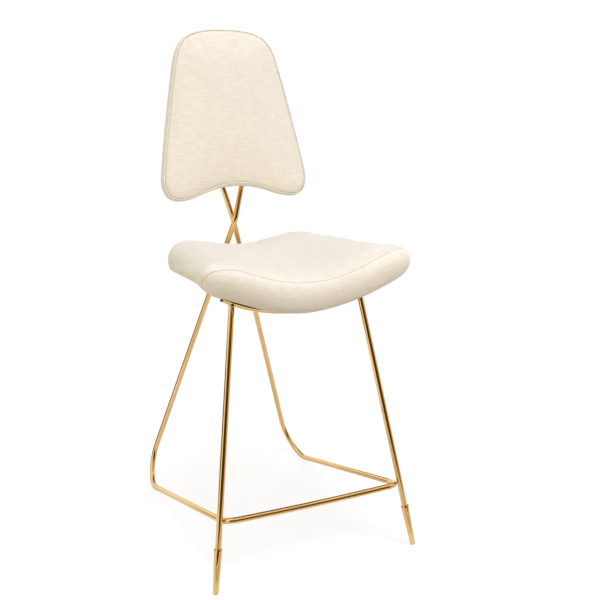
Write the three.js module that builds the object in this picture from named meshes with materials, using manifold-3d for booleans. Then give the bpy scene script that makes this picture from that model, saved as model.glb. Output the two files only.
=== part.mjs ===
// Bar stool with a footrest: an upholstered saddle seat and an upholstered back
// on a frame of bent round rod, with turned ferrules on the front feet.
// Millimetres. X runs across the stool, Y from front to back and Z up from the floor.
import * as THREE from 'three';
import { mergeVertices } from 'three/addons/utils/BufferGeometryUtils.js';
import Module from 'manifold-3d';

const wasm = await Module();
wasm.setup();

// ---------------------------------------------------------------- sizes

const CLEAR = 0.3; // between parts that seat on each other or fit together
const ROD_RADIUS = 6.35; // half-inch round rod, used for the whole frame
const ROD_SIDES = 14;
const ROD_CHAMFER = 0.8;
const BEND_STEP = THREE.MathUtils.degToRad(12); // turn of one facet along a bend

const LEG_SPLAY = 0.1543; // how far a leg runs inward for each unit of height
const LEG_RAKE = 0.1941; // how far it runs back for each unit of height

const FERRULE = { length: 93.5, topRadius: 9, tipRadius: 5.75, socket: 60, lip: 3.4, lipStep: 0.7 };
const TIP_SINK = 0.6; // how much of the rounded tip is faced off flat on the floor

const FOOTREST = { height: 145.3, bend: 29, contact: 28, arm: 40, bow: 5 };
const SEAT_GAP = 0.6; // daylight between the steelwork and the seat's underside

// Plan of a lobed cushion. The wide end has two lobes with a shallow hollow between
// them, the sides draw in, and the far end is round. "pull" holds the Bezier handle
// lengths as shares of the run they belong to.
const SEAT_PLAN = {
  length: 454, notch: 17, lobeX: 158, halfWidth: 234, lobeDepth: 42,
  shoulderX: 198, shoulder: 353, taper: 0.049,
  pull: { notch: [0.445, 0.416], lobe: [0.586, 0.59], side: [0.069, 0.262], end: [0.923, 0.778] },
};
const BACK_PLAN = {
  length: 401, notch: 29.6, lobeX: 144.3, halfWidth: 183.3, lobeDepth: 48.4,
  shoulderX: 136, shoulder: 302, taper: 0.222,
  pull: { notch: [0.479, 0.315], lobe: [0.633, 0.641], side: [0.097, 0.246], end: [0.734, 0.806] },
};
const PLAN_STEPS = { notch: 4, lobe: 5, side: 4, end: 7 }; // facets of each half

const SEAT_FRONT = 15; // front lobes, behind the line between the front feet
const SADDLE = { height: 585, rise: 18.3, wing: 116, wingFall: 38.8, flare: 58.7, flareGrow: 43.7 };
const SEAT_HALF = { edge: 34, nose: 6, noseReach: 117.5, thinning: 4.45 }; // half thickness
const SEAT_CROWN = 11;
const SEAT_ROUNDING = 2.2; // exponent of the rolled edge; 2 is a circle

const FOOT_X = SEAT_PLAN.halfWidth + 1; // front foot, out from the middle
const SEAT_REAR = SEAT_FRONT + SEAT_PLAN.length;

// Corner where a side rod turns up at the floor: inside the feet and behind the seat.
const REAR = { inside: 21.2, beyond: 154.4, bend: 73.9 };
const CROSSING = { aboveSeat: 102.6, bend: 60, relief: 0.7 }; // where the side rods cross behind
const MERGE_HEIGHT = 58; // up the back, where the outer rod comes to lie against it again

// The front bar hangs in an arc, flatter than the saddle that it follows, and runs on past the legs.
const FRONT_BAR = { arcRatio: 1.542, beyond: 19.3, capThick: 2.8, spigotRadius: 3, spigot: 8 };

const BACK_AT = { inside: 23.5, aboveSeat: 154.5, lean: THREE.MathUtils.degToRad(11.3) };
const BACK_HALF = 23.85;
const BACK_EDGE = 17.6; // how far in from the outline the faces start
const BACK_CROWN = 7;
const BACK_ROUNDING = 1.9;
const BACK_ROD_END = { x: 77.3, height: 215 };
const BACK_SCREWS = [82, 190]; // heights up the back

const PAN = { inset: 46, thick: 12 };
const DUST_COVER = 1;
const BOARD = { inset: 22, thick: 12 };
const REAR_PANEL = 5.5;

const PLATE = 3;
const TAB = { x: 75, width: 30, reach: 42, lap: 5, corner: 6, screws: 22, screwIn: 8 };
const BRACKET = { nose: 16, frontWidth: 56, beside: 2, lap: 5, corner: 5, screwX: 15, screwIn: 26 };
const SCREW = { radius: 2.7, headRadius: 4.6, head: 2.9, socket: 1.7, short: 1 };
const TNUT = { flange: 9.5, flangeThick: 1.5, wall: 1.1, recess: 0.5 };
const SPOT_FACE = 1; // depth of the flat under a screw head on a rod

// ---------------------------------------------------------------- materials

const metal = (color, roughness) => new THREE.MeshStandardMaterial({ color, roughness, metalness: 1 });
const matt = (color, roughness) => new THREE.MeshStandardMaterial({ color, roughness, metalness: 0 });
const BRASS = metal(0xc9a25a, 0.2);
const STEEL = metal(0xa9abad, 0.35);
const CREAM_FABRIC = matt(0xe9e3d6, 0.92);
const DARK_FABRIC = matt(0x2b2a29, 0.95);
const PLYWOOD = matt(0xc8a877, 0.7);
const DARK_PLASTIC = matt(0x2a2018, 0.5);

// ---------------------------------------------------------------- solids

const vec = (x, y, z) => new THREE.Vector3(x, y, z);
const UP = vec(0, 0, 1);

function signedVolume(points, index) {
  let sum = 0;
  for (let i = 0; i < index.length; i += 3) {
    const [a, b, c] = [points[index[i]], points[index[i + 1]], points[index[i + 2]]];
    sum += a.dot(b.clone().cross(c));
  }
  return sum / 6;
}

// Two triangles over the corners of a quad, split along its shorter diagonal.
function quad(points, [a, b, c, d]) {
  const alongBC = points[b].distanceToSquared(points[c]) < points[a].distanceToSquared(points[d]);
  return alongBC ? [a, b, c, b, d, c] : [a, b, d, a, d, c];
}

// A closed skin over rings of equal count, fanned to a point at each end.
function loft(rings, firstPole, lastPole) {
  const count = rings[0].length;
  const points = [...rings.flat(), firstPole, lastPole];
  const first = points.length - 2;
  const last = points.length - 1;
  const index = [];
  for (let i = 0; i < count; i++) {
    const next = (i + 1) % count;
    index.push(first, next, i);
    for (let row = 0; row < rings.length - 1; row++) {
      const a = row * count;
      const b = a + count;
      index.push(...quad(points, [a + i, a + next, b + i, b + next]));
    }
    const top = (rings.length - 1) * count;
    index.push(last, top + i, top + next);
  }
  if (signedVolume(points, index) < 0) index.reverse();
  const geometry = new THREE.BufferGeometry().setFromPoints(points);
  geometry.setIndex(index);
  return geometry;
}

function toManifold(geometry) {
  const bare = geometry.clone();
  bare.deleteAttribute('normal');
  bare.deleteAttribute('uv');
  const merged = mergeVertices(bare, 1e-4);
  return new wasm.Manifold(new wasm.Mesh({
    numProp: 3,
    vertProperties: Float32Array.from(merged.attributes.position.array),
    triVerts: Uint32Array.from(merged.index.array),
  }));
}

function fromManifold(solid) {
  const mesh = solid.getMesh();
  const geometry = new THREE.BufferGeometry();
  geometry.setAttribute('position', new THREE.BufferAttribute(mesh.vertProperties, 3));
  geometry.setIndex(new THREE.BufferAttribute(mesh.triVerts, 1));
  return geometry;
}

function cut(geometry, tools) {
  const body = tools.reduce((solid, tool) => solid.subtract(toManifold(tool)), toManifold(geometry));
  return fromManifold(body);
}

// A turned piece about +Z from (radius, height) pairs.
function turned(profile, sides = 10) {
  const points = profile.map(([radius, height]) => new THREE.Vector2(radius, height));
  return new THREE.LatheGeometry(points, sides).rotateX(Math.PI / 2);
}

const pin = (radius, from, to) => turned([[0, from], [radius, from], [radius, to], [0, to]]);

function aimed(geometry, origin, direction) {
  const turn = new THREE.Quaternion().setFromUnitVectors(UP, direction);
  return geometry.applyQuaternion(turn).translate(origin.x, origin.y, origin.z);
}

// ---------------------------------------------------------------- bent rod

// The points of one corner of a rod, rounded to a radius.
function bend(before, corner, after, radius) {
  const back = before.clone().sub(corner).normalize();
  const on = after.clone().sub(corner).normalize();
  const turn = Math.PI - back.angleTo(on);
  const axis = on.clone().cross(back).normalize();
  const towards = back.clone().add(on).normalize();
  const centre = corner.clone().addScaledVector(towards, radius / Math.cos(turn / 2));
  const spoke = corner.clone().addScaledVector(back, radius * Math.tan(turn / 2)).sub(centre);
  const steps = Math.ceil(turn / BEND_STEP);
  const at = (i) => spoke.clone().applyAxisAngle(axis, (turn * i) / steps).add(centre);
  return { centre, axis, points: Array.from({ length: steps + 1 }, (_, i) => at(i)) };
}

// corners: [{ at, radius }], the ends and any soft corner without a radius
function bentPath(corners) {
  return corners.flatMap(({ at, radius }, i) => {
    if (!radius) return [at];
    return bend(corners[i - 1].at, at, corners[i + 1].at, radius).points;
  });
}

// Round rod along a path, its rings square to the path and its ends chamfered.
function rod(path, radius = ROD_RADIUS, chamfer = ROD_CHAMFER) {
  const heading = (i) => path[Math.min(i + 1, path.length - 1)].clone().sub(path[Math.max(i - 1, 0)]);
  const direction = path.map((_, i) => {
    if (i === 0 || i === path.length - 1) return heading(i).normalize();
    const before = path[i].clone().sub(path[i - 1]).normalize();
    const after = path[i + 1].clone().sub(path[i]).normalize();
    return before.add(after).normalize();
  });
  const end = path.length - 1;
  const stations = [
    { at: path[0], along: direction[0], radius: radius - chamfer },
    { at: path[0].clone().addScaledVector(direction[0], chamfer), along: direction[0], radius },
    ...path.slice(1, end).map((at, i) => ({ at, along: direction[i + 1], radius })),
    { at: path[end].clone().addScaledVector(direction[end], -chamfer), along: direction[end], radius },
    { at: path[end], along: direction[end], radius: radius - chamfer },
  ];
  const side = vec(0.31, 0.17, 0.93).cross(direction[0]);
  const rings = stations.map((station) => {
    side.addScaledVector(station.along, -side.dot(station.along)).normalize();
    const other = station.along.clone().cross(side);
    return Array.from({ length: ROD_SIDES }, (_, k) => {
      const angle = (2 * Math.PI * k) / ROD_SIDES;
      return station.at.clone()
        .addScaledVector(side, station.radius * Math.cos(angle))
        .addScaledVector(other, station.radius * Math.sin(angle));
    });
  });
  return loft(rings, path[0], path[end]);
}

// ---------------------------------------------------------------- lobed plans

// Points round a lobed plan with the outward direction at each, starting at the
// middle of the hollow end and running anticlockwise.
function planOutline(plan) {
  const flat = (x, y) => new THREE.Vector2(x, y);
  const { length, notch, lobeX, halfWidth, lobeDepth, shoulderX, shoulder, taper, pull } = plan;
  const corner = flat(halfWidth, lobeDepth);
  const waist = flat(shoulderX, shoulder);
  const inward = flat(-Math.sin(taper), Math.cos(taper));
  const run = waist.distanceTo(corner);
  const rest = length - shoulder;
  const half = {
    notch: [flat(0, notch), flat(pull.notch[0] * lobeX, notch),
      flat(lobeX * (1 - pull.notch[1]), 0), flat(lobeX, 0)],
    lobe: [flat(lobeX, 0), flat(lobeX + pull.lobe[0] * (halfWidth - lobeX), 0),
      flat(halfWidth, lobeDepth * (1 - pull.lobe[1])), corner],
    side: [corner, flat(halfWidth, lobeDepth + pull.side[0] * run),
      waist.clone().addScaledVector(inward, -pull.side[1] * run), waist],
    end: [waist, waist.clone().addScaledVector(inward, pull.end[0] * rest),
      flat(pull.end[1] * shoulderX, length), flat(0, length)],
  };
  const right = Object.entries(half).flatMap(([name, handles]) => {
    const curve = new THREE.CubicBezierCurve(...handles);
    return Array.from({ length: PLAN_STEPS[name] }, (_, i) => {
      const share = i / PLAN_STEPS[name];
      const tangent = curve.getTangentAt(share);
      return { at: curve.getPointAt(share), out: flat(tangent.y, -tangent.x) };
    });
  });
  right.push({ at: flat(0, length), out: flat(0, 1) });
  const left = right.slice(1, -1).reverse()
    .map(({ at, out }) => ({ at: flat(-at.x, at.y), out: flat(-out.x, out.y) }));
  return relaxed([...right, ...left]);
}

// Evens out how fast the outward direction turns, so that an inset outline never folds.
function relaxed(points, passes = 8) {
  const count = points.length;
  for (let pass = 0; pass < passes; pass++) {
    const old = points.map(({ out }) => out.clone());
    points.forEach((point, i) => {
      const beside = old[(i + 1) % count].clone().add(old[(i + count - 1) % count]);
      point.out.copy(old[i]).multiplyScalar(2).add(beside).normalize();
    });
  }
  return points;
}

// A smaller copy of a plan that keeps its shape, for boards inside a cushion.
function shrunkPlan(plan, inset) {
  const across = 1 - inset / plan.halfWidth;
  const along = 1 - (2 * inset) / plan.length;
  const middle = plan.length / 2;
  return planOutline(plan).map(({ at }) => {
    return { at: new THREE.Vector2(at.x * across, middle + (at.y - middle) * along) };
  });
}

function ring(outline, middle, inset, share, place) {
  return outline.map(({ at, out }) => {
    const x = at.x - (inset ? out.x * inset : 0);
    const y = at.y - (inset ? out.y * inset : 0);
    return place(x * share, middle + (y - middle) * share);
  });
}

const ROWS = [0.34, 0.67];

// A slab between two surfaces, each given as a function of the plan position.
function slab(plan, inset, lower, upper, rows = ROWS) {
  const outline = shrunkPlan(plan, inset);
  const middle = plan.length / 2;
  const rings = [
    ...rows.map((share) => ring(outline, middle, 0, share, lower)),
    ring(outline, middle, 0, 1, lower),
    ring(outline, middle, 0, 1, upper),
    ...rows.toReversed().map((share) => ring(outline, middle, 0, share, upper)),
  ];
  return loft(rings, lower(0, middle), upper(0, middle));
}

// An upholstered pad: a flat-bottomed face, a rolled edge and a crowned face.
// place(x, y, side, crown) gives the point at the share "side" of the half thickness.
function pad(plan, edge, rounding, crown, place) {
  const outline = planOutline(plan);
  const middle = plan.length / 2;
  const power = 2 / rounding;
  const turn = (angle) => ({
    inset: (x, y) => edge(x, y) * (1 - Math.cos(angle) ** power),
    side: Math.sign(angle) * Math.abs(Math.sin(angle)) ** power,
  });
  const edgeRing = (angle) => {
    const { inset, side } = turn(angle);
    return outline.map(({ at, out }) => {
      const depth = inset(at.x, at.y);
      return place(at.x - out.x * depth, at.y - out.y * depth, side, 0);
    });
  };
  const faceRing = (share, side, lift) => outline.map(({ at, out }) => {
    const depth = edge(at.x, at.y);
    const x = (at.x - out.x * depth) * share;
    const y = middle + (at.y - out.y * depth - middle) * share;
    return place(x, y, side, lift * (1 - share ** 2));
  });
  const angles = Array.from({ length: 11 }, (_, i) => ((i - 5) * Math.PI) / 10);
  const rings = [
    ...ROWS.map((share) => faceRing(share, -1, 0)),
    ...angles.map(edgeRing),
    ...[0.87, ...ROWS.toReversed()].map((share) => faceRing(share, 1, crown)),
  ];
  return loft(rings, place(0, middle, -1, 0), place(0, middle, 1, crown));
}

// ---------------------------------------------------------------- seat surface

// Half thickness and mid-surface of the saddle; y is measured from the front lobes.
function seatHalf(x, y) {
  const nose = Math.exp(-((y / SEAT_HALF.noseReach) ** 2)) * (1 - (x / SEAT_PLAN.halfWidth) ** 2);
  const rear = (y / SEAT_PLAN.length) ** 2;
  return SEAT_HALF.edge + SEAT_HALF.nose * nose - SEAT_HALF.thinning * rear;
}

function seatMiddle(x, y) {
  const across = (x / SEAT_PLAN.halfWidth) ** 2;
  const back = y / SEAT_PLAN.length;
  const wing = SADDLE.wing - SADDLE.wingFall * back ** 2;
  const flare = SADDLE.flare + SADDLE.flareGrow * back;
  return SADDLE.height + SADDLE.rise * back + wing * across - flare * across ** 2;
}

const underside = (x, y) => seatMiddle(x, y) - seatHalf(x, y);

function underSeat(above) {
  return (x, y) => vec(x, SEAT_FRONT + y, underside(x, y) + above);
}

// A frame on the underside: X across, Y along the seat and Z square into it.
function undersideFrame(x, y) {
  const on = underSeat(0);
  const across = on(x + 1, y).sub(on(x - 1, y)).normalize();
  const along = on(x, y + 1).sub(on(x, y - 1)).normalize();
  const into = across.clone().cross(along).normalize();
  return new THREE.Matrix4()
    .makeBasis(across, into.clone().cross(across), into)
    .setPosition(on(x, y));
}

// ---------------------------------------------------------------- back surface

const BACK_Y = SEAT_REAR - BACK_AT.inside;
const BACK_Z = SADDLE.height + BACK_AT.aboveSeat;

// The leaning frame of the back: X across, Y square to it and rearward, Z up it.
const BACK_FRAME = new THREE.Matrix4()
  .makeRotationX(-BACK_AT.lean)
  .setPosition(0, BACK_Y, BACK_Z);

const onBack = (x, rearward, up) => vec(x, rearward, up).applyMatrix4(BACK_FRAME);

const ROD_REST = BACK_HALF + CLEAR + ROD_RADIUS; // rod axis where it lies on the back
const BOARD_REAR = BACK_HALF - REAR_PANEL - CLEAR;
const BOARD_FRONT = BOARD_REAR - BOARD.thick;

// ---------------------------------------------------------------- frame lines

const legAt = (side, height) => vec(side * (FOOT_X - LEG_SPLAY * height), LEG_RAKE * height, height);
const legDirection = (side) => vec(-side * LEG_SPLAY, LEG_RAKE, 1).normalize();
const BAR_ARC = (FRONT_BAR.arcRatio * SEAT_PLAN.halfWidth ** 2) / (2 * SADDLE.wing);
const barRise = (x) => BAR_ARC - Math.sqrt(BAR_ARC ** 2 - x ** 2);

// The height at which the legs meet the arched bar that hangs just under the seat.
function meetHeight() {
  let height = SADDLE.height;
  for (let i = 0; i < 40; i++) height = barHeight(height) + barRise(FOOT_X - LEG_SPLAY * height);
  return height;
}

function barHeight(meet) {
  return underside(0, LEG_RAKE * meet - SEAT_FRONT) - SEAT_GAP - ROD_RADIUS;
}

const MEET = meetHeight();
const BAR_Y = LEG_RAKE * MEET;
const BAR_Z = barHeight(MEET);
const BAR_HALF = FOOT_X - LEG_SPLAY * MEET + FRONT_BAR.beyond;
const barAt = (x) => vec(x, BAR_Y, BAR_Z + barRise(x));

// The sharp corner of the footrest, set so that the bend lies against the leg's inner side.
function footrestCorner(side) {
  const leg = legAt(side, FOOTREST.height);
  const tilt = Math.hypot(1, LEG_SPLAY, LEG_RAKE);
  const reach = FOOTREST.bend + ROD_RADIUS * (1 + tilt) + 2 * CLEAR;
  const angle = THREE.MathUtils.degToRad(FOOTREST.contact);
  const centre = leg.clone().add(vec(-side * Math.cos(angle), Math.sin(angle), 0).multiplyScalar(reach));
  return centre.add(vec(side * FOOTREST.bend, -FOOTREST.bend, 0));
}

// The side rods cross on the middle line. The inner one lies flat on the back above
// the crossing, and the outer one passes behind it.
function crossingPoint(outer) {
  const rearward = ROD_REST + (outer ? 2 * ROD_RADIUS + CLEAR + CROSSING.relief : 0);
  const height = SADDLE.height + CROSSING.aboveSeat;
  const drop = (height - BACK_Z) * Math.sin(BACK_AT.lean);
  return vec(0, BACK_Y + (rearward + drop) / Math.cos(BACK_AT.lean), height);
}

// The corner at the floor sinks until the rod's bend just touches the ground.
function rearCorner(side, outer) {
  const corner = vec(side * (FOOT_X - REAR.inside), SEAT_REAR + REAR.beyond, 0);
  for (let i = 0; i < 40; i++) {
    const { centre, axis } = bend(footrestCorner(side), corner, crossingPoint(outer), REAR.bend);
    corner.z += ROD_RADIUS - (centre.z - REAR.bend * Math.hypot(axis.x, axis.y));
  }
  return corner;
}

const LEFT = { side: -1, outer: false };
const RIGHT = { side: 1, outer: true };

function armPoint({ side, outer }, distance) {
  const corner = footrestCorner(side);
  return corner.addScaledVector(rearCorner(side, outer).sub(corner).normalize(), distance);
}

// Where a side rod runs up the back, at a height above the back's own origin.
function rodOnBack({ side, outer }, height) {
  const start = crossingPoint(outer).applyMatrix4(BACK_FRAME.clone().invert());
  const share = (height - start.z) / (BACK_ROD_END.height - start.z);
  return onBack(-side * BACK_ROD_END.x * share, ROD_REST, height);
}

// ---------------------------------------------------------------- frame parts

function sideRod(which) {
  const { side, outer } = which;
  const merge = { at: rodOnBack(which, MERGE_HEIGHT), radius: CROSSING.bend };
  return rod(bentPath([
    { at: armPoint(which, FOOTREST.arm + CLEAR) },
    { at: rearCorner(side, outer), radius: REAR.bend },
    { at: crossingPoint(outer), radius: CROSSING.bend },
    ...(outer ? [merge] : []),
    { at: rodOnBack(which, BACK_ROD_END.height) },
  ]));
}

function footrest() {
  const [from, to] = [footrestCorner(-1), footrestCorner(1)];
  const bowed = [-0.75, -0.5, -0.25, 0, 0.25, 0.5, 0.75].map((share) => {
    return { at: vec(to.x * share, to.y - FOOTREST.bow * (1 - share ** 2), to.z) };
  });
  return rod(bentPath([
    { at: armPoint(LEFT, FOOTREST.arm) },
    { at: from, radius: FOOTREST.bend },
    ...bowed,
    { at: to, radius: FOOTREST.bend },
    { at: armPoint(RIGHT, FOOTREST.arm) },
  ]));
}

const barPath = (half, steps = 10) => Array.from({ length: steps + 1 }, (_, i) => {
  return barAt(half * ((2 * i) / steps - 1));
});

function barEnd(side) {
  const [at, inner] = barPath(-side * BAR_HALF);
  return { at, out: at.clone().sub(inner).normalize() };
}

function frontBar() {
  const bores = [-1, 1].map((side) => {
    const { at, out } = barEnd(side);
    return aimed(pin(FRONT_BAR.spigotRadius + CLEAR, -FRONT_BAR.spigot - 1, 2), at, out);
  });
  return cut(rod(barPath(BAR_HALF)), bores);
}

function barCap(side) {
  const { at, out } = barEnd(side);
  const { spigotRadius, spigot, capThick } = FRONT_BAR;
  const profile = [
    [0, -spigot], [spigotRadius, -spigot], [spigotRadius, CLEAR], [ROD_RADIUS, CLEAR],
    [ROD_RADIUS, capThick - ROD_CHAMFER], [ROD_RADIUS - ROD_CHAMFER, capThick], [0, capThick],
  ];
  return aimed(turned(profile), at, out);
}

function leg(side) {
  const along = legDirection(side);
  const foot = legAt(side, 0);
  const start = foot.clone().addScaledVector(along, FERRULE.length - FERRULE.socket + CLEAR);
  const cope = rod(barPath(BAR_HALF), ROD_RADIUS + CLEAR);
  return cut(rod([start, legAt(side, MEET)]), [cope]);
}

function ferrule(side) {
  const { length, topRadius, tipRadius, socket, lip, lipStep } = FERRULE;
  const bore = ROD_RADIUS + CLEAR;
  const centre = tipRadius - TIP_SINK;
  const tip = [-90, -70, -50, -30, -10].map((degrees) => {
    const angle = THREE.MathUtils.degToRad(degrees);
    return [tipRadius * Math.cos(angle), centre + tipRadius * Math.sin(angle)];
  });
  tip[0][0] = 0;
  const profile = [
    ...tip, [topRadius - lipStep, length - lip - lipStep], [topRadius, length - lip],
    [topRadius, length - lipStep], [topRadius - lipStep, length],
    [bore, length], [bore, length - socket], [0, length - socket],
  ];
  const block = 60;
  const floor = new THREE.BoxGeometry(block, block, block).translate(side * FOOT_X, 0, -block / 2);
  return cut(aimed(turned(profile, 20), legAt(side, 0), legDirection(side)), [floor]);
}

// ---------------------------------------------------------------- seat fixings

function roundedPlate(corners, radius, holes) {
  const shape = new THREE.Shape();
  const at = corners.map(([x, y]) => new THREE.Vector2(x, y));
  at.forEach((corner, i) => {
    const before = at[(i + at.length - 1) % at.length];
    const after = at[(i + 1) % at.length];
    const enter = corner.clone().add(before.clone().sub(corner).setLength(radius));
    const leave = corner.clone().add(after.clone().sub(corner).setLength(radius));
    if (i === 0) shape.moveTo(enter.x, enter.y);
    else shape.lineTo(enter.x, enter.y);
    shape.quadraticCurveTo(corner.x, corner.y, leave.x, leave.y);
  });
  shape.closePath();
  for (const [x, y] of holes) {
    shape.holes.push(new THREE.Path().absarc(x, y, SCREW.radius + 2 * CLEAR, 0, 2 * Math.PI, true));
  }
  return new THREE.ExtrudeGeometry(shape, { depth: PLATE, bevelEnabled: false, curveSegments: 5 })
    .translate(0, 0, -SEAT_GAP - PLATE);
}

// A tab laps over the front bar and runs back under the seat.
const tabFrame = (side) => undersideFrame(side * TAB.x, BAR_Y - SEAT_FRONT + TAB.reach / 2);
const tabScrews = [TAB.screws + TAB.screwIn, TAB.screwIn].map((y) => [0, TAB.reach / 2 - y]);

function seatTab(side) {
  const half = TAB.width / 2;
  const rear = TAB.reach / 2;
  const front = -rear - TAB.lap;
  const plate = roundedPlate([[-half, front], [half, front], [half, rear], [-half, rear]],
    TAB.corner, tabScrews);
  const bar = rod(barPath(BAR_HALF), ROD_RADIUS + CLEAR);
  return cut(plate.applyMatrix4(tabFrame(side)), [bar]);
}

// The rear bracket is a tapered plate on a short bar between the side rods. The bar's
// height settles where its top just clears the plate.
const bracketFrame = undersideFrame(0, SEAT_PLAN.length - PAN.inset - BRACKET.screwIn);
const bracketScrews = [-1, 1].map((side) => [side * BRACKET.screwX, 0]);

function lowerRodAt({ side, outer }, height) {
  const from = rearCorner(side, outer);
  const to = crossingPoint(outer);
  return from.clone().lerp(to, (height - from.z) / (to.z - from.z));
}

function rearBarEnds() {
  const local = bracketFrame.clone().invert();
  const ends = (height) => [LEFT, RIGHT].map((which) => lowerRodAt(which, height));
  let height = SADDLE.height;
  for (let i = 0; i < 40; i++) {
    const top = Math.max(...ends(height).map((end) => end.applyMatrix4(local).z));
    height -= top + SEAT_GAP + PLATE + CLEAR + ROD_RADIUS;
  }
  return ends(height);
}

function rearBar() {
  const copes = [LEFT, RIGHT].map(({ side, outer }) => {
    return rod([rearCorner(side, outer), crossingPoint(outer)], ROD_RADIUS + CLEAR);
  });
  return cut(rod(rearBarEnds()), copes);
}

// The plate narrows towards the rear, where it passes between the side rods.
function rearBracket() {
  const ends = rearBarEnds();
  const top = ends[0].z + ROD_RADIUS + CLEAR + PLATE;
  const between = Math.min(...[LEFT, RIGHT].map((which) => Math.abs(lowerRodAt(which, top).x)));
  const local = bracketFrame.clone().invert();
  const reach = Math.max(...ends.map((end) => end.applyMatrix4(local).y)) + BRACKET.lap;
  const near = BRACKET.frontWidth / 2;
  const far = between - ROD_RADIUS - BRACKET.beside;
  const corners = [[-near, -BRACKET.nose], [near, -BRACKET.nose], [far, reach], [-far, reach]];
  return roundedPlate(corners, BRACKET.corner, bracketScrews).applyMatrix4(bracketFrame);
}

// ---------------------------------------------------------------- fasteners

// Each fixing has a frame whose Z runs from the screw head into the board. "head" is
// where the head seats and "face" the board's far face, both along that Z.
function seatFixing(frame, [x, y]) {
  const place = frame.clone().multiply(new THREE.Matrix4().makeTranslation(x, y, 0));
  const upright = vec(0, 0, 1).transformDirection(frame).z;
  const face = (DUST_COVER + CLEAR + PAN.thick) * upright;
  return { place, head: -SEAT_GAP - PLATE - CLEAR, face };
}

function backFixing(which, height) {
  const forward = new THREE.Matrix4().makeRotationX(Math.PI / 2);
  const turnedFrame = BACK_FRAME.clone().multiply(forward).setPosition(rodOnBack(which, height));
  return { place: turnedFrame, head: SPOT_FACE - ROD_RADIUS - CLEAR, face: ROD_REST - BOARD_FRONT };
}

const SEAT_FIXINGS = [
  ...[-1, 1].flatMap((side) => tabScrews.map((at) => seatFixing(tabFrame(side), at))),
  ...bracketScrews.map((at) => seatFixing(bracketFrame, at)),
];
const BACK_FIXINGS = [LEFT, RIGHT].map((which) => BACK_SCREWS.map((up) => backFixing(which, up)));

const nutBarrel = SCREW.radius + CLEAR + TNUT.wall;

function screw({ place, head, face }) {
  const { radius, headRadius, socket } = SCREW;
  const tip = face - TNUT.recess - SCREW.short;
  const dome = [0, 30, 60].map((degrees) => {
    const angle = THREE.MathUtils.degToRad(degrees);
    return [headRadius * Math.cos(angle), head - SCREW.head * (0.25 + 0.75 * Math.sin(angle))];
  });
  const blank = turned([
    [0, head - SCREW.head], ...dome.toReversed(), [headRadius, head],
    [radius, head], [radius, tip], [0, tip],
  ]);
  const key = new THREE.CylinderGeometry(socket, socket, SCREW.head, 6).rotateX(Math.PI / 2);
  return cut(blank, [key.translate(0, 0, head - SCREW.head)]).applyMatrix4(place);
}

function tNut({ place, face }, board) {
  const bore = SCREW.radius + CLEAR;
  const top = face - TNUT.recess;
  const shoulder = top - TNUT.flangeThick;
  const foot = face - board * 0.8;
  return turned([
    [bore, foot], [nutBarrel, foot], [nutBarrel, shoulder], [TNUT.flange, shoulder],
    [TNUT.flange, top], [bore, top], [bore, foot],
  ]).applyMatrix4(place);
}

// What a fixing removes from the board it goes through.
function nutSeat({ place, head, face }) {
  const shoulder = face - TNUT.recess - TNUT.flangeThick - CLEAR;
  const hole = nutBarrel + CLEAR;
  const flange = TNUT.flange + CLEAR;
  return turned([[0, head], [hole, head], [hole, shoulder], [flange, shoulder],
    [flange, face + 4], [0, face + 4]]).applyMatrix4(place);
}

// What it removes from a rod: the hole, and a flat for the head.
function rodHole({ place, head, face }) {
  const hole = SCREW.radius + CLEAR;
  const flat = SCREW.headRadius + CLEAR;
  return turned([[0, head - SCREW.head - 2], [flat, head - SCREW.head - 2], [flat, head + CLEAR],
    [hole, head + CLEAR], [hole, face], [0, face]]).applyMatrix4(place);
}

// ---------------------------------------------------------------- upholstery

const panBottom = DUST_COVER + CLEAR;
const panTop = panBottom + PAN.thick;

const dustCover = () => cut(
  slab(SEAT_PLAN, PAN.inset, underSeat(0), underSeat(DUST_COVER)), SEAT_FIXINGS.map(nutSeat));

const seatPan = () => cut(
  slab(SEAT_PLAN, PAN.inset, underSeat(panBottom), underSeat(panTop)), SEAT_FIXINGS.map(nutSeat));

function seatCushion() {
  const place = (x, y, side, crown) => {
    return vec(x, SEAT_FRONT + y, seatMiddle(x, y) + side * seatHalf(x, y) + crown);
  };
  const shape = pad(SEAT_PLAN, seatHalf, SEAT_ROUNDING, SEAT_CROWN, place);
  const below = 6;
  const pocket = slab(SEAT_PLAN, PAN.inset - CLEAR, underSeat(-below), underSeat(panTop + CLEAR));
  return cut(shape, [pocket]);
}

const acrossBack = (rearward) => (x, up) => onBack(x, rearward, up);
const backSlab = (inset, from, to) => slab(BACK_PLAN, inset, acrossBack(from), acrossBack(to), []);

function backCushion() {
  const place = (x, up, side, crown) => onBack(x, -side * BACK_HALF - crown, up);
  const shape = pad(BACK_PLAN, () => BACK_EDGE, BACK_ROUNDING, BACK_CROWN, place);
  const beyond = 5;
  const pocket = backSlab(BOARD.inset - CLEAR, BOARD_FRONT - CLEAR, BACK_HALF + beyond);
  return cut(shape, [pocket]);
}

const backBoard = () => cut(
  backSlab(BOARD.inset, BOARD_FRONT, BOARD_REAR), BACK_FIXINGS.flat().map(nutSeat));
const rearPanel = () => cut(
  backSlab(BOARD.inset, BACK_HALF - REAR_PANEL, BACK_HALF), BACK_FIXINGS.flat().map(nutSeat));

// ---------------------------------------------------------------- assembly

const stool = new THREE.Group();

function add(name, geometry, material) {
  const mesh = new THREE.Mesh(geometry, material);
  mesh.name = name;
  stool.add(mesh);
}

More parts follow.
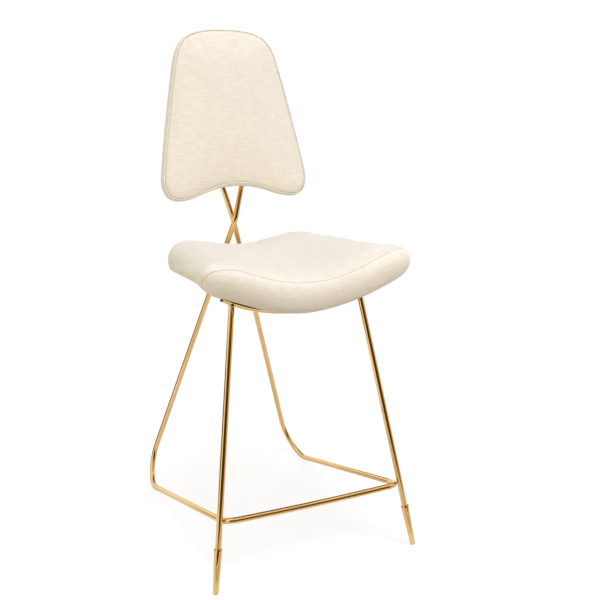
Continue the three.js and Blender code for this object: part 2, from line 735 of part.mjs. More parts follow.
for (const [name, side] of [['left', -1], ['right', 1]]) {
  add(`${name}_leg`, leg(side), BRASS);
  add(`${name}_ferrule`, ferrule(side), BRASS);
  add(`${name}_bar_cap`, barCap(side), DARK_PLASTIC);
  add(`${name}_seat_tab`, seatTab(side), BRASS);
}
add('front_crossbar', frontBar(), BRASS);
add('footrest', footrest(), BRASS);
add('left_side_rod', cut(sideRod(LEFT), BACK_FIXINGS[0].map(rodHole)), BRASS);
add('right_side_rod', cut(sideRod(RIGHT), BACK_FIXINGS[1].map(rodHole)), BRASS);
add('rear_crossbar', rearBar(), BRASS);
add('rear_seat_bracket', rearBracket(), BRASS);

add('seat_cushion', seatCushion(), CREAM_FABRIC);
add('seat_pan', seatPan(), PLYWOOD);
add('seat_dust_cover', dustCover(), DARK_FABRIC);
add('back_cushion', backCushion(), CREAM_FABRIC);
add('back_board', backBoard(), PLYWOOD);
add('back_rear_panel', rearPanel(), CREAM_FABRIC);

SEAT_FIXINGS.forEach((fixing, i) => {
  add(`seat_screw_${i + 1}`, screw(fixing), STEEL);
  add(`seat_nut_${i + 1}`, tNut(fixing, PAN.thick), STEEL);
});
BACK_FIXINGS.flat().forEach((fixing, i) => {
  add(`back_screw_${i + 1}`, screw(fixing), STEEL);
  add(`back_nut_${i + 1}`, tNut(fixing, BOARD.thick), STEEL);
});

// The origin sits on the floor under the middle of the whole stool.
const box = new THREE.Box3().setFromObject(stool, true);
const middle = box.getCenter(vec(0, 0, 0));
stool.position.set(-middle.x, -middle.y, -box.min.z);
stool.updateMatrixWorld(true);

export default stool;
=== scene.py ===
import math

import bmesh
import bpy
import numpy as np
from mathutils import Matrix, Quaternion, Vector
from mathutils.bvhtree import BVHTree
from mathutils.kdtree import KDTree


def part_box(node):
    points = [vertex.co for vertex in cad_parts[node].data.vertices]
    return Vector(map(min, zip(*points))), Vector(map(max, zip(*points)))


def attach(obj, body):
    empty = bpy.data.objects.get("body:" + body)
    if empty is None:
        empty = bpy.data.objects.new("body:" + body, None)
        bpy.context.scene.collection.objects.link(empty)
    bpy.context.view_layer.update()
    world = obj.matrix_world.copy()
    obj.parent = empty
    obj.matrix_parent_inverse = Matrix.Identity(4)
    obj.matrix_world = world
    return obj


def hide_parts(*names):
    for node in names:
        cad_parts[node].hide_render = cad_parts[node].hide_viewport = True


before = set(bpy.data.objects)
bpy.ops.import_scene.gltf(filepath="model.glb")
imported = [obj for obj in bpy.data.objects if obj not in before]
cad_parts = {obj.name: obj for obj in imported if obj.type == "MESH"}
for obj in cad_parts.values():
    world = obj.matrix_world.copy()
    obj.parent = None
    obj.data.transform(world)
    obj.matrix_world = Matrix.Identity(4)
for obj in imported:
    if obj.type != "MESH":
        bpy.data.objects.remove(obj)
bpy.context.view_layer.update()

MM = 0.001
SEAT_FRONT_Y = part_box("seat_cushion")[0].y  # the seat's front lobes
FEET_Y = SEAT_FRONT_Y - 15 * MM  # the line between the front feet

# ------------------------------------------------------------------ sizes, as in the CAD, in metres

ROD = 6.35 * MM
CLEAR = 0.3 * MM
FOOT_X = 0.235
SPLAY, RAKE = 0.1543, 0.1941
FOOTREST = dict(height=0.1453, bend=0.029, contact=math.radians(28), arm=0.040, bow=0.005)
REAR = dict(x=0.2138, y=0.6234, bend=0.0739)
CROSSING = dict(height=0.6876, bend=0.060, relief=0.0007)
MERGE_HEIGHT = 0.058
BAR = dict(arc=0.364, half=0.1655, cap=0.0028, spigot=0.003)
SEAT_GAP = 0.0006
FERRULE = dict(length=93.5 * MM, top=9 * MM, tip=5.75 * MM, socket=60 * MM, lip=3.4 * MM,
               step=0.7 * MM)
PLATE = 3 * MM  # the thickness of the tabs and of the rear bracket under the seat
TAB = dict(x=75 * MM, behind_bar=21 * MM, screws=(-9 * MM, 13 * MM))
BRACKET = dict(from_rear=(46 + 26) * MM, screw_x=15 * MM)

SEAT_PLAN = dict(
    length=0.454, notch=0.017, lobe_x=0.158, half=0.234, lobe=0.042,
    shoulder_x=0.198, shoulder=0.353, taper=0.049,
    pull=((0.445, 0.416), (0.586, 0.59), (0.069, 0.262), (0.923, 0.778)))
BACK_PLAN = dict(
    length=0.401, notch=0.0296, lobe_x=0.1443, half=0.1833, lobe=0.0484,
    shoulder_x=0.136, shoulder=0.302, taper=0.222,
    pull=((0.479, 0.315), (0.633, 0.641), (0.097, 0.246), (0.734, 0.806)))

LEAN = math.radians(11.3)
BACK_ORIGIN = Vector((0.0, 0.4455 + FEET_Y, 0.7395))
BACK_FRAME = Matrix.Translation(BACK_ORIGIN) @ Matrix.Rotation(-LEAN, 4, "X")
BACK_HALF = 23.85 * MM
BACK_ROD_X, BACK_ROD_UP = 0.0773, 0.215
ROD_REST = BACK_HALF + CLEAR + ROD
BACK_SCREWS = (0.082, 0.190)


# ------------------------------------------------------------------ plans and surfaces

def bezier(handles, steps=240):
    a, b, c, d = (np.array(h, float) for h in handles)
    t = np.linspace(0, 1, steps)[:, None]
    return (1 - t) ** 3 * a + 3 * (1 - t) ** 2 * t * b + 3 * (1 - t) * t * t * c + t ** 3 * d


def run_along(points):
    """How far along a line each of its points lies."""
    return np.concatenate([[0], np.cumsum(np.linalg.norm(np.diff(points, axis=0), axis=1))])


def plan_outline(plan, count, even=0.022):
    """count points round a lobed plan, anticlockwise from the hollow end's middle, and the
    outward direction at each, evened out over about `even` metres so that insets never fold."""
    half, notch, lobe_x, lobe = plan["half"], plan["notch"], plan["lobe_x"], plan["lobe"]
    waist = np.array((plan["shoulder_x"], plan["shoulder"]))
    corner = np.array((half, lobe))
    inward = np.array((-math.sin(plan["taper"]), math.cos(plan["taper"])))
    run = np.linalg.norm(waist - corner)
    rest = plan["length"] - plan["shoulder"]
    (n0, n1), (l0, l1), (s0, s1), (e0, e1) = plan["pull"]
    curves = [
        [(0, notch), (n0 * lobe_x, notch), (lobe_x * (1 - n1), 0), (lobe_x, 0)],
        [(lobe_x, 0), (lobe_x + l0 * (half - lobe_x), 0), (half, lobe * (1 - l1)), corner],
        [corner, (half, lobe + s0 * run), waist - inward * s1 * run, waist],
        [waist, waist + inward * e0 * rest, (e1 * plan["shoulder_x"], plan["length"]),
         (0, plan["length"])],
    ]
    right = np.concatenate([bezier(c)[:-1] for c in curves] + [[[0, plan["length"]]]])
    left = right[-2:0:-1] * (-1, 1)
    loop = np.concatenate([right, left, right[:1]])
    reach = run_along(loop)
    at = np.linspace(0, reach[-1], count, endpoint=False)
    points = np.stack([np.interp(at, reach, loop[:, k]) for k in (0, 1)], 1)
    along = np.roll(points, -1, 0) - np.roll(points, 1, 0)
    out = np.stack([along[:, 1], -along[:, 0]], 1)
    out /= np.linalg.norm(out, axis=1)[:, None]
    spread = even / (reach[-1] / count)
    taps = np.arange(-int(3 * spread), int(3 * spread) + 1)
    weights = np.exp(-0.5 * (taps / spread) ** 2)
    out = sum(w * np.roll(out, k, 0) for w, k in zip(weights, taps))
    out /= np.linalg.norm(out, axis=1)[:, None]
    return points, out


def seat_half(x, y):
    nose = np.exp(-((y / 0.1175) ** 2)) * (1 - (x / SEAT_PLAN["half"]) ** 2)
    return (34 + 6 * nose - 4.45 * (y / SEAT_PLAN["length"]) ** 2) * MM


def seat_middle(x, y):
    across = (x / SEAT_PLAN["half"]) ** 2
    back = y / SEAT_PLAN["length"]
    return (585 + 18.3 * back + (116 - 38.8 * back ** 2) * across
            - (58.7 + 43.7 * back) * across ** 2) * MM


def underside(x, y):
    return seat_middle(x, y) - seat_half(x, y)


def seat_tuck(y):
    """How far the underside's edge is pulled up, most of all just behind the front lobes."""
    return 20 * MM * np.exp(-(((y - 0.085) / np.where(y < 0.085, 0.06, 0.14)) ** 2))


def seat_point(x, y, side, lift=0.0):
    z = seat_middle(x, y) + side * seat_half(x, y) + lift
    return np.stack([x, SEAT_FRONT_Y + y, z], -1)


def back_point(x, up, side, lift=0.0):
    rear = -side * BACK_HALF - lift
    y = BACK_ORIGIN.y + rear * math.cos(LEAN) + up * math.sin(LEAN)
    z = BACK_ORIGIN.z - rear * math.sin(LEAN) + up * math.cos(LEAN)
    return np.stack([x, y, z], -1)


# ------------------------------------------------------------------ meshes

def shade_smooth(mesh):
    mesh.polygons.foreach_set("use_smooth", [True] * len(mesh.polygons))


def into_scene(name, data):
    obj = bpy.data.objects.new(name, data)
    bpy.context.scene.collection.objects.link(obj)
    return obj


def new_object(name, verts, faces, sharp=None):
    mesh = bpy.data.meshes.new(name)
    mesh.from_pydata([tuple(map(float, v)) for v in verts], [], faces)
    mesh.validate()
    work = bmesh.new()
    work.from_mesh(mesh)
    bmesh.ops.recalc_face_normals(work, faces=work.faces)
    work.to_mesh(mesh)
    work.free()
    shade_smooth(mesh)
    if sharp:
        mesh.set_sharp_from_angle(angle=sharp)
    return into_scene(name, mesh)


def loft(name, rings, closed=False, sharp=None):
    """A skin over rings of equal count; the ends are fanned shut unless the rings close up."""
    rings = [np.asarray(r, float) for r in rings]
    count = len(rings[0])
    verts = list(np.concatenate(rings))
    faces = []
    pairs = list(zip(range(len(rings) - 1), range(1, len(rings))))
    if closed:
        pairs.append((len(rings) - 1, 0))
    for low, high in pairs:
        for i in range(count):
            j = (i + 1) % count
            faces.append((low * count + i, low * count + j, high * count + j, high * count + i))
    if not closed:
        verts += [rings[0].mean(0), rings[-1].mean(0)]
        last = (len(rings) - 1) * count
        for i in range(count):
            j = (i + 1) % count
            faces.append((len(verts) - 2, j, i))
            faces.append((len(verts) - 1, last + i, last + j))
    return new_object(name, verts, faces, sharp=sharp)


def turned(name, profile, sides=48, place=Matrix.Identity(4), sharp=math.radians(40)):
    """A turned piece about +Z from (radius, height) pairs that start and end on the axis."""
    angle = np.linspace(0, 2 * math.pi, sides, endpoint=False)
    ring = np.stack([np.cos(angle), np.sin(angle)], 1)
    rings = [np.concatenate([ring * r, np.full((sides, 1), h)], 1) for r, h in profile[1:-1]]
    obj = loft(name, rings, sharp=sharp)
    obj.data.vertices[-2].co = (0, 0, profile[0][1])
    obj.data.vertices[-1].co = (0, 0, profile[-1][1])
    obj.data.transform(place)
    return obj


def aim(origin, direction):
    turn = Vector((0, 0, 1)).rotation_difference(Vector(direction)).to_matrix().to_4x4()
    return Matrix.Translation(Vector(origin)) @ turn


def arc_points(centre, radius, start, end, steps):
    angles = np.radians(np.linspace(start, end, steps))
    return [(centre[0] + radius * math.cos(a), centre[1] + radius * math.sin(a)) for a in angles]


# ------------------------------------------------------------------ bent rods

def bend(before, corner, after, radius, step=math.radians(3)):
    back = (before - corner).normalized()
    on = (after - corner).normalized()
    turn = math.pi - back.angle(on)
    axis = on.cross(back).normalized()
    centre = corner + (back + on).normalized() * (radius / math.cos(turn / 2))
    spoke = corner + back * (radius * math.tan(turn / 2)) - centre
    steps = math.ceil(turn / step)
    points = [centre + Quaternion(axis, turn * i / steps) @ spoke for i in range(steps + 1)]
    return centre, axis, points


def bent_path(corners):
    path = []
    for i, (at, radius) in enumerate(corners):
        if radius:
            path += bend(corners[i - 1][0], at, corners[i + 1][0], radius)[2]
        else:
            path.append(at)
    return path


def sweep(name, path, radius=ROD, sides=32, rounding=0.8 * MM, closed=False):
    """A round rod along a path, with rounded ends."""
    path = [Vector(p) for p in path]
    count = len(path)
    heading = []
    for i in range(count):
        before = path[i - 1] if i or closed else path[0]
        after = path[(i + 1) % count] if i < count - 1 or closed else path[-1]
        one = (path[i] - before).normalized() if before != path[i] else Vector()
        two = (after - path[i]).normalized() if after != path[i] else Vector()
        heading.append((one + two).normalized())
    stations = [(p, h, radius) for p, h in zip(path, heading)]
    if not closed:
        turns = [(1 - math.sin(a), 1 - math.cos(a)) for a in np.radians((0, 30, 60, 90))]
        start = [(path[0] + heading[0] * rounding * along, heading[0], radius - rounding * inward)
                 for inward, along in turns]
        end = [(path[-1] - heading[-1] * rounding * along, heading[-1], radius - rounding * inward)
               for inward, along in reversed(turns)]
        stations = start + stations[1:-1] + end
    side = Vector((0.31, 0.17, 0.93)).cross(stations[0][1])
    rings = []
    for at, along, size in stations:
        side = (side - along * side.dot(along)).normalized()
        other = along.cross(side)
        rings.append([at + size * (side * math.cos(a) + other * math.sin(a))
                      for a in np.linspace(0, 2 * math.pi, sides, endpoint=False)])
    return loft(name, rings, closed=closed, sharp=math.radians(50))


def leg_at(side, height):
    return Vector((side * (FOOT_X - SPLAY * height), FEET_Y + RAKE * height, height))


def leg_direction(side):
    return Vector((-side * SPLAY, RAKE, 1)).normalized()


def bar_rise(x):
    return BAR["arc"] - math.sqrt(BAR["arc"] ** 2 - x * x)


def bar_height(meet):
    return float(underside(0.0, RAKE * meet + FEET_Y - SEAT_FRONT_Y)) - SEAT_GAP - ROD


MEET = 0.58
for _ in range(40):
    MEET = bar_height(MEET) + bar_rise(FOOT_X - SPLAY * MEET)
BAR_Y = FEET_Y + RAKE * MEET
BAR_Z = bar_height(MEET)


def bar_at(x):
    return Vector((x, BAR_Y, BAR_Z + bar_rise(x)))


def footrest_corner(side):
    leg = leg_at(side, FOOTREST["height"])
    tilt = math.hypot(1, SPLAY, RAKE)
    reach = FOOTREST["bend"] + ROD * (1 + tilt) + 2 * CLEAR
    angle = FOOTREST["contact"]
    centre = leg + Vector((-side * math.cos(angle), math.sin(angle), 0)) * reach
    return centre + Vector((side * FOOTREST["bend"], -FOOTREST["bend"], 0))


def crossing_point(outer):
    rearward = ROD_REST + (2 * ROD + CLEAR + CROSSING["relief"] if outer else 0)
    drop = (CROSSING["height"] - BACK_ORIGIN.z) * math.sin(LEAN)
    return Vector((0, BACK_ORIGIN.y + (rearward + drop) / math.cos(LEAN), CROSSING["height"]))


def rear_corner(side, outer):
    corner = Vector((side * REAR["x"], REAR["y"] + FEET_Y, 0))
    for _ in range(40):
        centre, axis, _points = bend(footrest_corner(side), corner, crossing_point(outer),
                                     REAR["bend"])
        corner.z += ROD - (centre.z - REAR["bend"] * math.hypot(axis.x, axis.y))
    return corner


def arm_point(side, outer, distance):
    corner = footrest_corner(side)
    return corner + (rear_corner(side, outer) - corner).normalized() * distance


def rod_on_back(side, outer, height):
    start = BACK_FRAME.inverted() @ crossing_point(outer)
    share = (height - start.z) / (BACK_ROD_UP - start.z)
    return BACK_FRAME @ Vector((-side * BACK_ROD_X * share, ROD_REST, height))


SIDES = ((-1, False, "left"), (1, True, "right"))


# ------------------------------------------------------------------ materials

class Nodes:
    """A short way to write a node tree."""

    def __init__(self, tree):
        self.tree = tree
        self.shader = tree.nodes.get("Principled BSDF")

    def add(self, kind, inputs=None, **settings):
        node = self.tree.nodes.new(kind)
        for key, value in settings.items():
            setattr(node, key, value)
        for key, value in (inputs or {}).items():
            self.set(node.inputs[key], value)
        return node

    def set(self, socket, value):
        if isinstance(value, bpy.types.NodeSocket):
            self.tree.links.new(value, socket)
        elif isinstance(value, bpy.types.Node):
            self.tree.links.new(value.outputs[0], socket)
        else:
            socket.default_value = value

    def place(self):
        """The place on the object, in its own frame."""
        return self.add("ShaderNodeTexCoord").outputs["Object"]

    def math(self, operation, *values):
        return self.add("ShaderNodeMath", dict(enumerate(values)), operation=operation)

    def mix(self, factor, one, two):
        """A colour between two colours."""
        node = self.add("ShaderNodeMix", data_type="RGBA")
        for index, value in ((0, factor), (6, one), (7, two)):
            self.set(node.inputs[index], value)
        return node.outputs[2]

    def ramp(self, value, low, high, to_low=0.0, to_high=1.0):
        return self.add("ShaderNodeMapRange", {
            "Value": value, "From Min": low, "From Max": high,
            "To Min": to_low, "To Max": to_high})

    def noise(self, vector, scale, detail=2.0, roughness=0.5):
        return self.add("ShaderNodeTexNoise", {
            "Vector": vector, "Scale": scale, "Detail": detail, "Roughness": roughness})

    def stretched(self, vector, scale):
        return self.add("ShaderNodeVectorMath", {0: vector, 1: scale}, operation="MULTIPLY")


def new_material(name):
    material = bpy.data.materials.new(name)
    material.use_nodes = True
    n = Nodes(material.node_tree)
    n.material = material
    return n


def brass_material():
    n = new_material("polished_brass")
    where = n.place()
    clouds = n.noise(where, 9, 3)
    smudges = n.noise(where, 70, 4, 0.6)
    scratches = n.noise(n.stretched(where, (900, 900, 60)), 1, 2)
    base = n.mix(n.ramp(clouds, 0.3, 0.7), BRASS_DEEP, BRASS_LIGHT)
    edge = n.ramp(n.add("ShaderNodeNewGeometry").outputs["Pointiness"], 0.52, 0.6)
    n.set(n.shader.inputs["Base Color"], n.mix(edge, base, BRASS_WORN))
    rough = n.math("ADD", n.ramp(smudges, 0.35, 0.75, 0.04, 0.11),
                   n.ramp(scratches, 0.55, 0.8, 0.0, 0.05))
    n.set(n.shader.inputs["Roughness"], rough)
    n.shader.inputs["Metallic"].default_value = 1.0
    bump = n.add("ShaderNodeBump", {"Height": scratches, "Strength": 0.04, "Distance": 0.0002})
    n.set(n.shader.inputs["Normal"], bump)
    return n.material


def fabric_material(name, lean, light, dark, warm):
    """Plain woven linen: warp and weft threads, slubs along the weft and a faint mottle.
    The threads are laid flat on each of the three directions that a surface can face."""
    n = new_material(name)
    turned_to = n.add("ShaderNodeMapping", {"Vector": n.place(), "Rotation": (lean, 0, 0)})
    facing = n.add("ShaderNodeMapping", {
        "Vector": n.add("ShaderNodeNewGeometry").outputs["Normal"], "Rotation": (lean, 0, 0)},
        vector_type="NORMAL")
    at = n.add("ShaderNodeSeparateXYZ", {0: turned_to})
    to = n.add("ShaderNodeSeparateXYZ", {0: facing})
    x, y, z = at.outputs
    wander = n.noise(turned_to, 14, 2)
    sheets = ((x, y, to.outputs[2]), (x, z, to.outputs[1]), (y if lean else z, z if lean else y,
                                                              to.outputs[0]))
    heights, streaks, weights = [], [], []
    for u, v, towards in sheets:
        off_u = n.math("ADD", u, n.math("MULTIPLY", wander, 0.004))
        off_v = n.math("ADD", v, n.math("MULTIPLY", wander, 0.004))
        warp = n.math("SINE", n.math("MULTIPLY", off_u, 2 * math.pi / THREAD))
        weft = n.math("SINE", n.math("MULTIPLY", off_v, 2 * math.pi / THREAD))
        heights.append(n.math("MULTIPLY", warp, weft))
        flat = n.add("ShaderNodeCombineXYZ", {0: u, 1: v, 2: 0.0})
        long = n.noise(n.stretched(flat, (38, 500, 1)), 1, 3, 0.6)
        upright = n.noise(n.stretched(flat, (480, 90, 1)), 1, 2, 0.5)
        streaks.append(n.math("ADD", n.math("MULTIPLY", long, 0.75),
                              n.math("MULTIPLY", upright, 0.25)))
        weights.append(n.math("POWER", n.math("ABSOLUTE", towards), 8.0))
    total = n.math("ADD", n.math("ADD", weights[0], weights[1]), weights[2])

    def blended(values):
        parts = [n.math("MULTIPLY", v, w) for v, w in zip(values, weights)]
        return n.math("DIVIDE", n.math("ADD", n.math("ADD", parts[0], parts[1]), parts[2]), total)

    threads, streak = blended(heights), blended(streaks)
    mottle = n.noise(turned_to, 90, 3, 0.6)
    patch = n.noise(turned_to, 5, 2)
    tone = n.math("ADD", n.math("MULTIPLY", streak, 0.8), n.math("MULTIPLY", mottle, 0.2))
    colour = n.mix(n.ramp(tone, 0.36, 0.60), dark, light)
    colour = n.mix(n.ramp(patch, 0.4, 0.75, 0.0, 0.25), colour, warm)
    # where the threads dip the colour is darkened a little: painted shade between the threads
    colour = n.mix(n.ramp(threads, -1.0, 0.2, 0.16, 0.0), colour, [c * 0.55 for c in dark[:3]] + [1])
    seam = n.add("ShaderNodeAttribute", attribute_name="seam")
    colour = n.mix(n.math("MULTIPLY", seam.outputs["Fac"], 0.55), colour, SEAM_SHADE)
    n.set(n.shader.inputs["Base Color"], colour)
    n.shader.inputs["Roughness"].default_value = 0.92
    n.shader.inputs["Sheen Weight"].default_value = 0.18
    n.shader.inputs["Sheen Roughness"].default_value = 0.45
    n.shader.inputs["Specular IOR Level"].default_value = 0.2
    fine = n.add("ShaderNodeBump", {"Height": threads, "Strength": 0.35, "Distance": 0.00035})
    slub = n.add("ShaderNodeBump", {"Height": streak, "Strength": 0.8, "Distance": 0.0013,
                                    "Normal": fine})
    n.set(n.shader.inputs["Normal"], slub)
    return n.material


def plywood_material():
    n = new_material("plywood")
    where = n.place()
    grain = n.noise(n.stretched(where, (6, 160, 160)), 1, 5, 0.6)
    knots = n.noise(where, 6, 2)
    colour = n.mix(n.ramp(grain, 0.3, 0.7), (0.50, 0.33, 0.18, 1), (0.72, 0.55, 0.35, 1))
    n.set(n.shader.inputs["Base Color"], n.mix(n.ramp(knots, 0.6, 0.8), colour, (0.4, 0.25, 0.13, 1)))
    n.set(n.shader.inputs["Roughness"], n.ramp(grain, 0.2, 0.8, 0.55, 0.75))
    n.set(n.shader.inputs["Normal"], n.add("ShaderNodeBump", {
        "Height": grain, "Strength": 0.3, "Distance": 0.0004}))
    return n.material


def steel_material():
    n = new_material("zinc_plated_steel")
    where = n.place()
    tint = n.noise(where, 220, 3)
    n.set(n.shader.inputs["Base Color"],
          n.mix(n.ramp(tint, 0.3, 0.7), (0.50, 0.50, 0.50, 1), (0.66, 0.65, 0.62, 1)))
    n.set(n.shader.inputs["Roughness"], n.ramp(n.noise(where, 900, 2), 0.3, 0.7, 0.22, 0.4))
    n.shader.inputs["Metallic"].default_value = 1.0
    return n.material


def cap_material():
    n = new_material("dark_brown_plastic")
    where = n.place()
    grain = n.noise(where, 1400, 2)
    tint = n.ramp(n.noise(where, 90, 2), 0.3, 0.7)
    n.set(n.shader.inputs["Base Color"], n.mix(tint, (0.030, 0.018, 0.011, 1), (0.05, 0.032, 0.02, 1)))
    n.set(n.shader.inputs["Roughness"], n.ramp(grain, 0.3, 0.7, 0.38, 0.55))
    n.set(n.shader.inputs["Normal"], n.add("ShaderNodeBump", {
        "Height": grain, "Strength": 0.2, "Distance": 0.0002}))
    return n.material


THREAD = 1.3 * MM  # two neighbouring threads of the linen
BRASS_DEEP = (0.83, 0.55, 0.21, 1)
BRASS_LIGHT = (0.91, 0.65, 0.31, 1)
BRASS_WORN = (0.95, 0.72, 0.38, 1)
LINEN_LIGHT = (0.925, 0.885, 0.795, 1)
LINEN_DARK = (0.80, 0.745, 0.64, 1)
LINEN_WARM = (0.89, 0.83, 0.70, 1)
SEAM_SHADE = (0.30, 0.26, 0.21, 1)
CLOTH_DARK = (0.018, 0.017, 0.016, 1)

BRASS = brass_material()
SEAT_LINEN = fabric_material("linen_seat", 0.0, LINEN_LIGHT, LINEN_DARK, LINEN_WARM)
BACK_LINEN = fabric_material("linen_back", LEAN, LINEN_LIGHT, LINEN_DARK, LINEN_WARM)
CAMBRIC = fabric_material("dust_cover_cloth", 0.0, (0.035, 0.034, 0.033, 1), CLOTH_DARK,
                          (0.026, 0.024, 0.022, 1))
PLYWOOD, STEEL, CAP_PLASTIC = plywood_material(), steel_material(), cap_material()


def finish(obj, material, slot, *replaced, cushion=None):
    obj.data.materials.clear()
    obj.data.materials.append(material)
    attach(obj, "root")
    if replaced:
        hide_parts(*replaced)
    return obj


def dress_node(name, material, bevel=0.0):
    """A CAD node keeps its shape; its edges are eased and it gets a finish."""
    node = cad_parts[name]
    node.data.materials.clear()
    node.data.materials.append(material)
    shade_smooth(node.data)
    weld = node.modifiers.new("weld", "WELD")
    weld.merge_threshold = 1e-6
    if bevel:
        ease = node.modifiers.new("ease", "BEVEL")
        ease.width, ease.segments, ease.limit_method = bevel, 3, "ANGLE"
        ease.angle_limit = math.radians(40)
    split = node.modifiers.new("split", "EDGE_SPLIT")
    split.split_angle = math.radians(35)


# ------------------------------------------------------------------ the metalwork

def side_rod(side, outer, name):
    corners = [
        (arm_point(side, outer, FOOTREST["arm"] + CLEAR), 0),
        (rear_corner(side, outer), REAR["bend"]),
        (crossing_point(outer), CROSSING["bend"]),
        (rod_on_back(side, outer, BACK_ROD_UP), 0)]
    if outer:
        corners.insert(3, (rod_on_back(side, outer, MERGE_HEIGHT), CROSSING["bend"]))
    return finish(sweep(name + "_side_rod_bent", bent_path(corners)), BRASS, "brass",
                  name + "_side_rod")


def footrest():
    left, right = footrest_corner(-1), footrest_corner(1)
    shares = np.linspace(-0.8, 0.8, 17)
    bow = [(Vector((right.x * s, right.y - FOOTREST["bow"] * (1 - s * s), right.z)), 0)
           for s in shares]
    corners = [(arm_point(-1, False, FOOTREST["arm"]), 0), (left, FOOTREST["bend"])] + bow + [
        (right, FOOTREST["bend"]), (arm_point(1, True, FOOTREST["arm"]), 0)]
    return finish(sweep("footrest_bent", bent_path(corners)), BRASS, "brass", "footrest")


def ferrule(side, name):
    length, top, tip, socket, lip, step = (
        FERRULE[key] for key in ("length", "top", "tip", "socket", "lip", "step"))
    centre = tip - 0.6 * MM
    round_tip = [(r, max(h, 0.03 * MM)) for r, h in arc_points((0, centre), tip, -88, -8, 14)]
    profile = [(0, round_tip[0][1])] + round_tip + [
        (top - step, length - lip - step), (top - 0.2 * MM, length - lip - 0.25 * MM),
        (top, length - lip), (top, length - step), (top - 0.25 * MM, length - 0.2 * MM),
        (top - step, length), (ROD + CLEAR, length), (ROD + CLEAR, length - socket),
        (0, length - socket)]
    obj = turned(name + "_ferrule_turned", profile, 64, aim(leg_at(side, 0), leg_direction(side)),
                 sharp=math.radians(30))
    for vertex in obj.data.vertices:
        vertex.co.z = max(vertex.co.z, 0.0)
    return finish(obj, BRASS, "brass", name + "_ferrule")


def leg(side, name):
    start = leg_at(side, 0) + leg_direction(side) * (FERRULE["length"] - FERRULE["socket"])
    path = [start, leg_at(side, 0.3), leg_at(side, MEET - 2 * MM)]
    return finish(sweep(name + "_leg_rod", path), BRASS, "brass", name + "_leg")


def bar_cap(side, name):
    end = bar_at(side * BAR["half"])
    out = (end - bar_at(side * (BAR["half"] - 0.002))).normalized()
    cap = BAR["cap"]
    rim = arc_points((ROD - 1 * MM, cap - 1 * MM), 1 * MM, 0, 90, 6)
    profile = [(0, -8 * MM), (3 * MM, -8 * MM), (3 * MM, CLEAR), (ROD, CLEAR)] + rim + [
        (ROD * 0.5, cap + 0.25 * MM), (0, cap + 0.3 * MM)]
    return finish(turned(name + "_bar_plug", profile, 48, aim(end, out)), CAP_PLASTIC,
                  "dark_plastic", name + "_bar_cap")


def weld_bead(name, centre, axis, radius, thickness, seed):
    """A low polished bead that runs round a joint, a little uneven."""
    rng = np.random.default_rng(seed)
    phase = rng.uniform(0, 2 * math.pi, 3)
    turn = Vector((0, 0, 1)).rotation_difference(Vector(axis)).to_matrix()
    rings = []
    for a in np.linspace(0, 2 * math.pi, 48, endpoint=False):
        swell = thickness * (1 + 0.1 * math.sin(5 * a + phase[0]) + 0.06 * math.sin(11 * a + phase[1]))
        out = Vector((math.cos(a), math.sin(a), 0))
        rings.append([Vector(centre) + turn @ (out * (radius + swell * math.cos(b))
                      + Vector((0, 0, swell * 1.3 * math.sin(b))))
                      for b in np.linspace(0, 2 * math.pi, 10, endpoint=False)])
    return finish(loft(name, rings, closed=True), BRASS, "brass")


def hex_screw(name, place, head):
    """A button-head screw with a hexagonal socket; +Z of its frame runs into the board."""
    radius, head_radius, socket = 2.7 * MM, 4.6 * MM, 1.7 * MM
    high = 2.9 * MM
    key = [(socket / math.cos(math.radians((a % 60) - 30)), a) for a in range(0, 360, 6)]
    flat = [(r * math.cos(math.radians(a)), r * math.sin(math.radians(a))) for r, a in key]

    def circle(r, z):
        return [(r * math.cos(math.radians(a)), r * math.sin(math.radians(a)), z)
                for a in range(0, 360, 6)]

    top = head - high
    rings = [[(x * 0.98, y * 0.98, top + 1.9 * MM) for x, y in flat], [(x, y, top) for x, y in flat]]
    rings += [circle(r, head - h) for r, h in (
        (2.45 * MM, high), (3.1 * MM, high * 0.95), (3.8 * MM, high * 0.8), (4.3 * MM, high * 0.56),
        (head_radius, high * 0.24), (head_radius, 0.1 * MM), (head_radius - 0.1 * MM, 0))]
    rings += [circle(radius, head), circle(radius, head + 14 * MM)]
    obj = loft(name + "_button_head", rings, sharp=math.radians(35))
    obj.data.transform(place)
    return finish(obj, STEEL, "steel", name)


def underside_frame(x, y):
    def on(dx, dy):
        return Vector((x + dx, SEAT_FRONT_Y + y + dy, float(underside(x + dx, y + dy))))
    across = (on(MM, 0) - on(-MM, 0)).normalized()
    along = (on(0, MM) - on(0, -MM)).normalized()
    into = across.cross(along).normalized()
    basis = Matrix((across, into.cross(across), into)).transposed().to_4x4()
    return Matrix.Translation(on(0, 0)) @ basis


